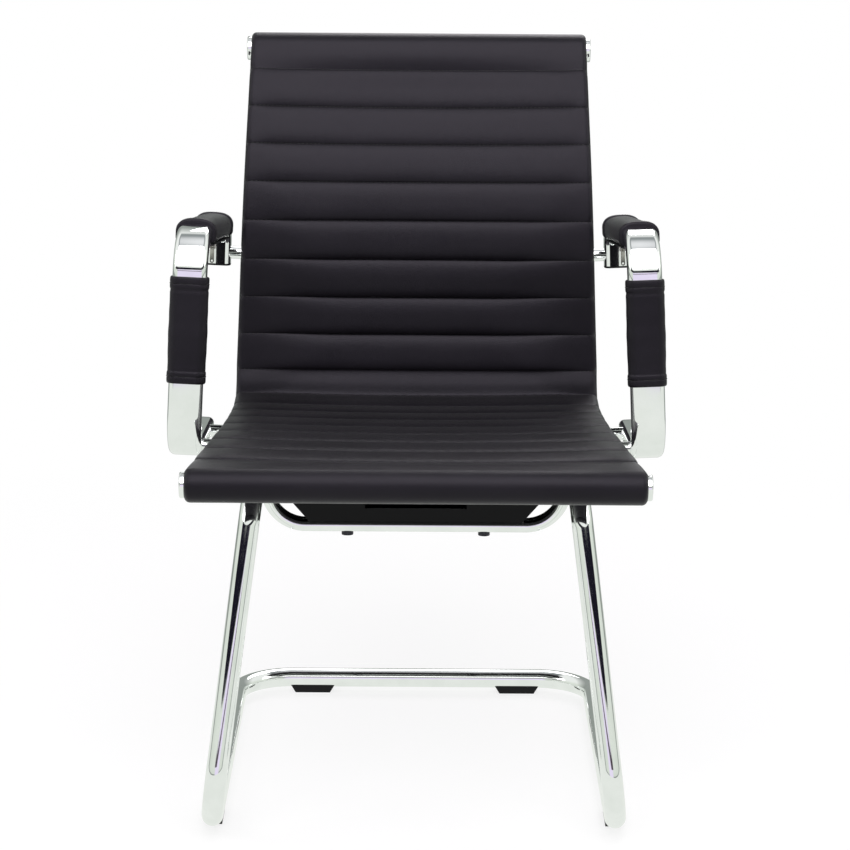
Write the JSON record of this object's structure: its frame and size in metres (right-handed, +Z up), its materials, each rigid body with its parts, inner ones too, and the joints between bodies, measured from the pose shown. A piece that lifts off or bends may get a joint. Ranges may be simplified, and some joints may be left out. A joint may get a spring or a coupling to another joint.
{
  "type": "sled base visitor chair",
  "caption": "Visitor chair with a slung, cross-ribbed black leatherette seat and back on a bent chrome sled tube, with padded loop arms.",
  "frame": {"origin": "on the floor, under the middle of the chair's width and depth", "axes": "+X across the chair, to the right of someone who faces its front; +Y to the back; +Z up"},
  "size_m": [0.5856, 0.5942, 0.8827],
  "materials": {
    "chrome_tube": "polished chrome plate",
    "chrome_fitting": "polished chrome plate",
    "glide_plastic": "moulded nylon, satin",
    "plug_plastic": "moulded polyethylene, satin",
    "black_leather": "fine grained leatherette, soft sheen",
    "webbing": "elastic webbing and foam",
    "black_frame_steel": "powder coat",
    "bracket_paint": "satin powder coat",
    "black_fastener": "black oxide",
    "zip_tape": "coil zip chain",
    "zip_metal": "nickel plate"
  },
  "bodies": {
    "chair": {"arm_bolt_upper_left": "black_fastener", "arm_bolt_upper_right": "black_fastener", "arm_bolts_lower_left": "black_fastener", "arm_bolts_lower_right": "black_fastener", "arm_pad_left": "black_leather", "arm_pad_right": "black_leather", "arm_plug_lower_left": "plug_plastic", "arm_plug_lower_right": "plug_plastic", "arm_plug_rear_left": "plug_plastic", "arm_plug_rear_right": "plug_plastic", "arm_sleeve_left": "black_leather", "arm_sleeve_right": "black_leather", "arm_spacer_upper_left": "chrome_fitting", "arm_spacer_upper_right": "chrome_fitting", "arm_spacers_lower_left": "chrome_fitting", "arm_spacers_lower_right": "chrome_fitting", "arm_tube_left": "chrome_tube", "arm_tube_right": "chrome_tube", "back_bar": "black_frame_steel", "end_cap_front_left": "chrome_fitting", "end_cap_front_right": "chrome_fitting", "end_cap_top_left": "chrome_fitting", "end_cap_top_right": "chrome_fitting", "front_cross_tube": "black_frame_steel", "glide_front_left": "glide_plastic", "glide_front_right": "glide_plastic", "glide_rear_left": "glide_plastic", "glide_rear_right": "glide_plastic", "rail_plug_left": "plug_plastic", "rail_plug_right": "plug_plastic", "rear_cover": "black_leather", "ribbed_cover": "black_leather", "seat_bracket_front": "bracket_paint", "seat_bracket_rear": "bracket_paint", "seat_plate_front": "black_frame_steel", "seat_plate_rear": "black_frame_steel", "seat_screws": "black_fastener", "side_rail_left": "black_frame_steel", "side_rail_right": "black_frame_steel", "sled_frame": "chrome_tube", "stretcher_bolts": "black_fastener", "stretcher_front": "chrome_tube", "stretcher_nuts": "black_fastener", "stretcher_rear": "chrome_tube", "top_cross_tube": "black_frame_steel", "webbing_core": "webbing", "zip_chain_left": "zip_tape", "zip_chain_right": "zip_tape"},
    "zip_pull_left": {"zip_pull_left": "zip_metal"},
    "zip_pull_right": {"zip_pull_right": "zip_metal"},
    "zip_slider_left": {"zip_slider_left": "zip_metal"},
    "zip_slider_right": {"zip_slider_right": "zip_metal"}
  },
  "joints": [
    {"name": "zip_slide_left", "type": "slide", "parent": "chair", "child": "zip_slider_left", "axis": [0.0249, 0.9927, -0.1183], "range_m": [0, 0.184]},
    {"name": "zip_pull_swing_left", "type": "hinge", "parent": "zip_slider_left", "child": "zip_pull_left", "pos_m": [-0.24336, -0.04042, 0.65707], "axis": [0.9988, -0.0296, -0.0384], "range_deg": [-80, 80]},
    {"name": "zip_slide_right", "type": "slide", "parent": "chair", "child": "zip_slider_right", "axis": [-0.0249, 0.9927, -0.1183], "range_m": [0, 0.184]},
    {"name": "zip_pull_swing_right", "type": "hinge", "parent": "zip_slider_right", "child": "zip_pull_right", "pos_m": [0.24336, -0.04042, 0.65707], "axis": [0.9988, 0.0296, 0.0384], "range_deg": [-80, 80]}
  ]
}
